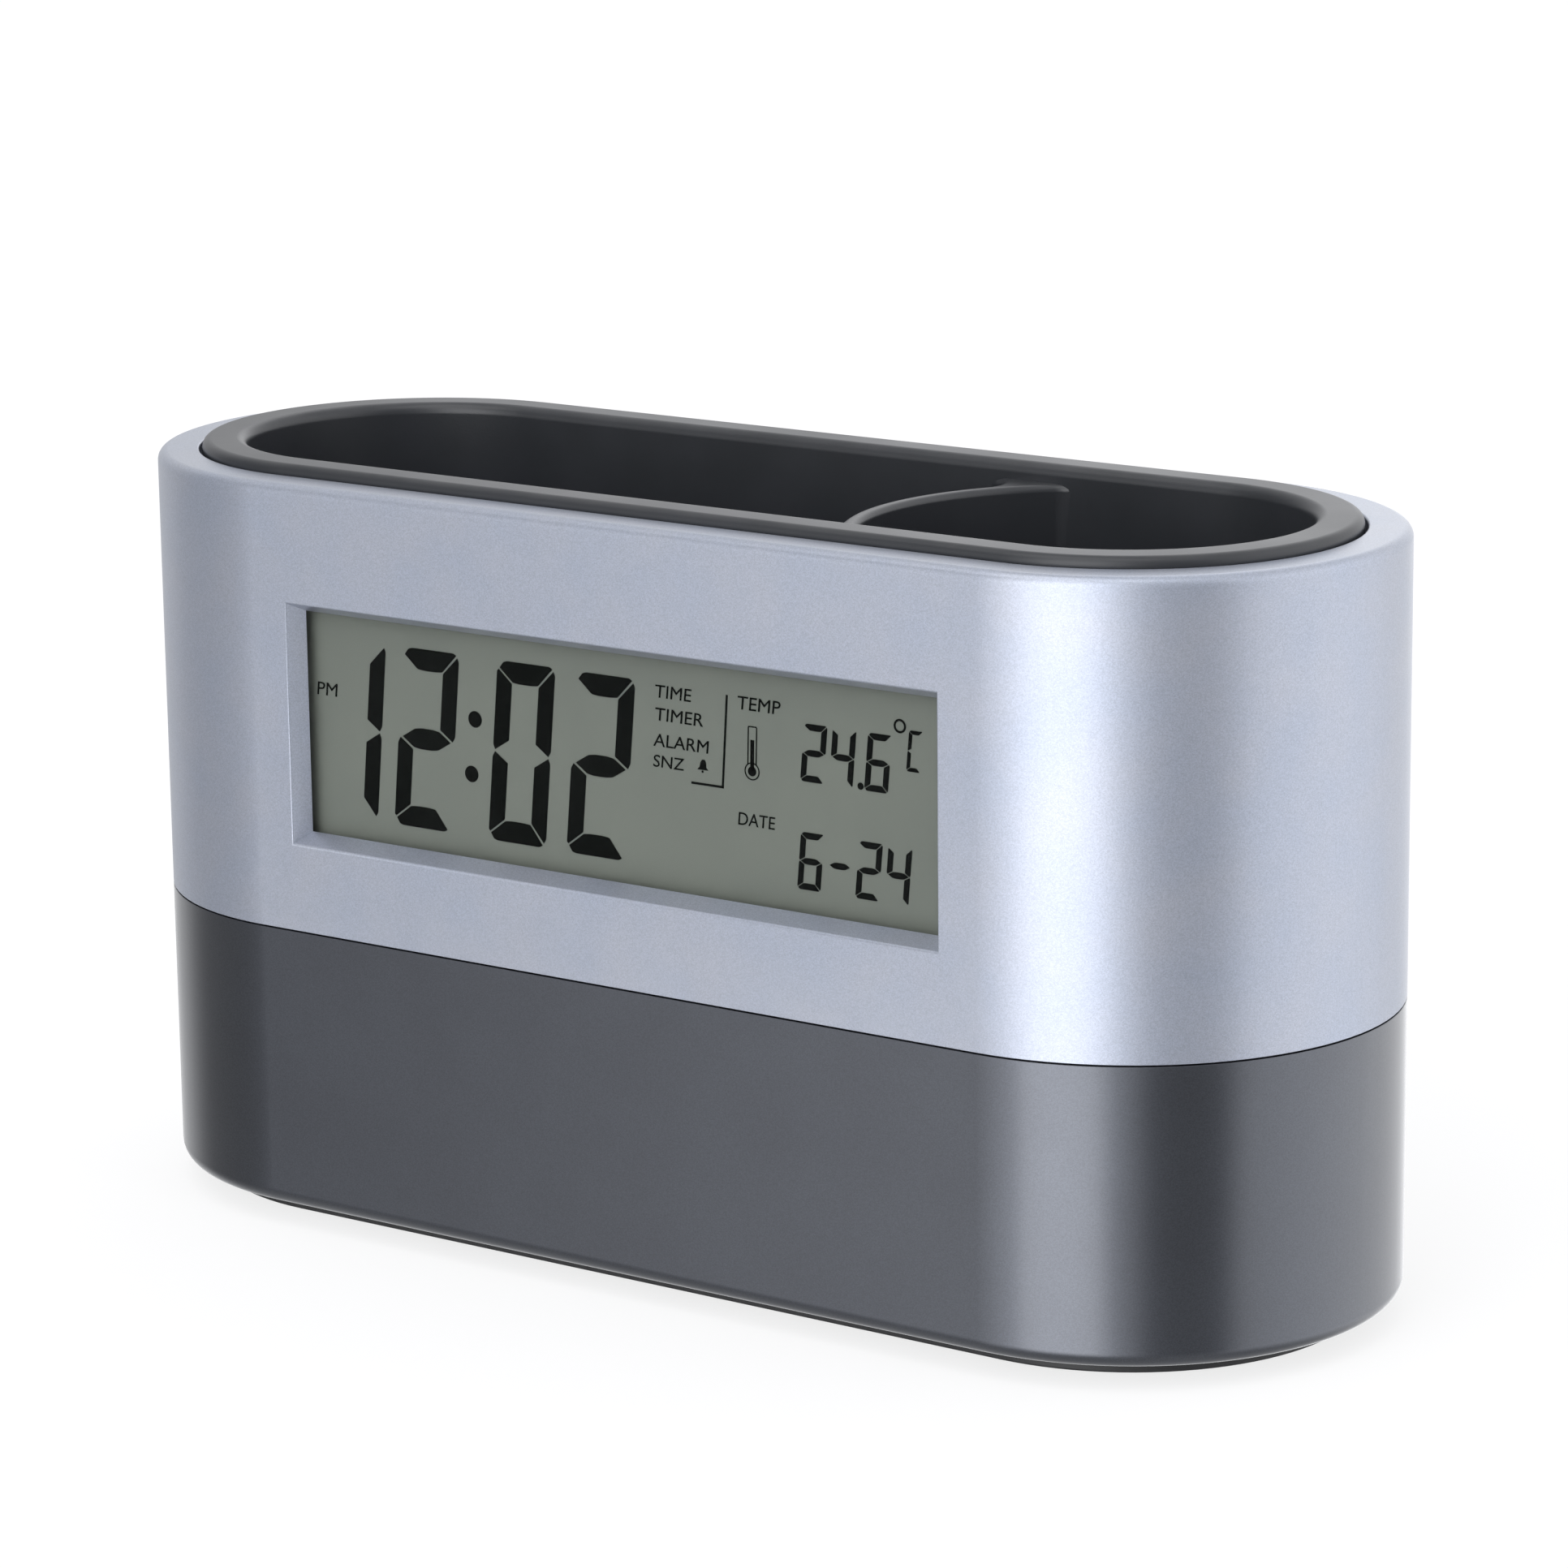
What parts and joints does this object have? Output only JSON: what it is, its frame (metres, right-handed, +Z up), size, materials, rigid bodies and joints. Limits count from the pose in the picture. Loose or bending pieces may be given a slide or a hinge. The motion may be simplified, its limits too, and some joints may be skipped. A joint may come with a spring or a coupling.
{
  "type": "pen holder clock",
  "caption": "Stadium-shaped desk pen holder with a large and a small cup, a digital clock display in the front, buttons at the back and a hinged battery door.",
  "frame": {"origin": "middle of the footprint on the table, at the underside of the feet", "axes": "+X to the right along the case as the display is read, +Y towards the back with the buttons, +Z up"},
  "size_m": [0.18, 0.069, 0.101],
  "materials": {
    "silver_paint": "satin silver-blue metallic paint on moulded plastic",
    "grey_paint": "satin dark grey metallic paint on moulded plastic",
    "dark_plastic": "fine matte texture",
    "black_plastic": "fine matte texture",
    "rubber": "matte",
    "steel": "plated",
    "clear_plastic": "clear, polished",
    "display_glass": "grey-green display, satin polariser",
    "reflector": "satin film",
    "zebra_rubber": "matte",
    "board_green": "solder mask, semi-gloss",
    "epoxy": "smooth resin",
    "ceramic": "matte",
    "brass": "rolled sheet",
    "cell_jacket": "plain printed film",
    "wire_red": "smooth",
    "wire_black": "smooth",
    "ribbon_grey": "ribbed flat cable"
  },
  "bodies": {
    "case": {"upper_shell": "silver_paint", "base_shell": "grey_paint", "cup_liner": "dark_plastic", "base_plate": "black_plastic", "foot_front_left": "rubber", "foot_front_right": "rubber", "foot_rear_left": "rubber", "foot_rear_right": "rubber", "case_screw_front_left": "steel", "case_screw_front_right": "steel", "case_screw_rear_left": "steel", "case_screw_rear_right": "steel", "display_lens": "clear_plastic", "lcd_panel": "display_glass", "lcd_reflector": "reflector", "lcd_frame": "black_plastic", "zebra_strip_upper": "zebra_rubber", "zebra_strip_lower": "zebra_rubber", "main_board": "board_green", "chip_dome": "epoxy", "crystal_can": "steel", "filter_capacitor": "ceramic", "board_screw_1": "steel", "board_screw_2": "steel", "board_screw_3": "steel", "board_screw_4": "steel", "tact_switch_snooze": "steel", "tact_switch_down": "steel", "tact_switch_up": "steel", "tact_switch_set": "steel", "tact_switch_mode": "steel", "key_board": "board_green", "key_board_screw_1": "steel", "key_board_screw_2": "steel", "thermistor": "epoxy", "ribbon_cable": "ribbon_grey", "battery_tray": "black_plastic", "tray_screw_1": "steel", "tray_screw_2": "steel", "cell_lower": "cell_jacket", "cell_upper": "cell_jacket", "contact_spring_lower": "steel", "contact_spring_upper": "steel", "contact_plate": "steel", "bridge_contact": "steel", "buzzer_disc": "brass", "battery_lead_red": "wire_red", "battery_lead_black": "wire_black"},
    "snooze_key": {"button_snooze": "dark_plastic", "plunger_snooze": "black_plastic"},
    "down_key": {"button_down": "dark_plastic", "plunger_down": "black_plastic"},
    "up_key": {"button_up": "dark_plastic", "plunger_up": "black_plastic"},
    "set_key": {"button_set": "dark_plastic", "plunger_set": "black_plastic"},
    "mode_key": {"button_mode": "dark_plastic", "plunger_mode": "black_plastic"},
    "door": {"battery_door": "grey_paint"}
  },
  "joints": [
    {"name": "snooze_press", "type": "slide", "parent": "case", "child": "snooze_key", "axis": [0, -1, 0], "range_m": [0, 0.0005], "stiffness_N_per_m": 600},
    {"name": "down_press", "type": "slide", "parent": "case", "child": "down_key", "axis": [0, -1, 0], "range_m": [0, 0.0005], "stiffness_N_per_m": 600},
    {"name": "up_press", "type": "slide", "parent": "case", "child": "up_key", "axis": [0, -1, 0], "range_m": [0, 0.0005], "stiffness_N_per_m": 600},
    {"name": "set_press", "type": "slide", "parent": "case", "child": "set_key", "axis": [0, -1, 0], "range_m": [0, 0.0005], "stiffness_N_per_m": 600},
    {"name": "mode_press", "type": "slide", "parent": "case", "child": "mode_key", "axis": [0, -1, 0], "range_m": [0, 0.0005], "stiffness_N_per_m": 600},
    {"name": "door_hinge", "type": "hinge", "parent": "case", "child": "door", "pos_m": [0, 0.0332, 0.01015], "axis": [-1, 0, 0], "range_deg": [0, 85]}
  ]
}
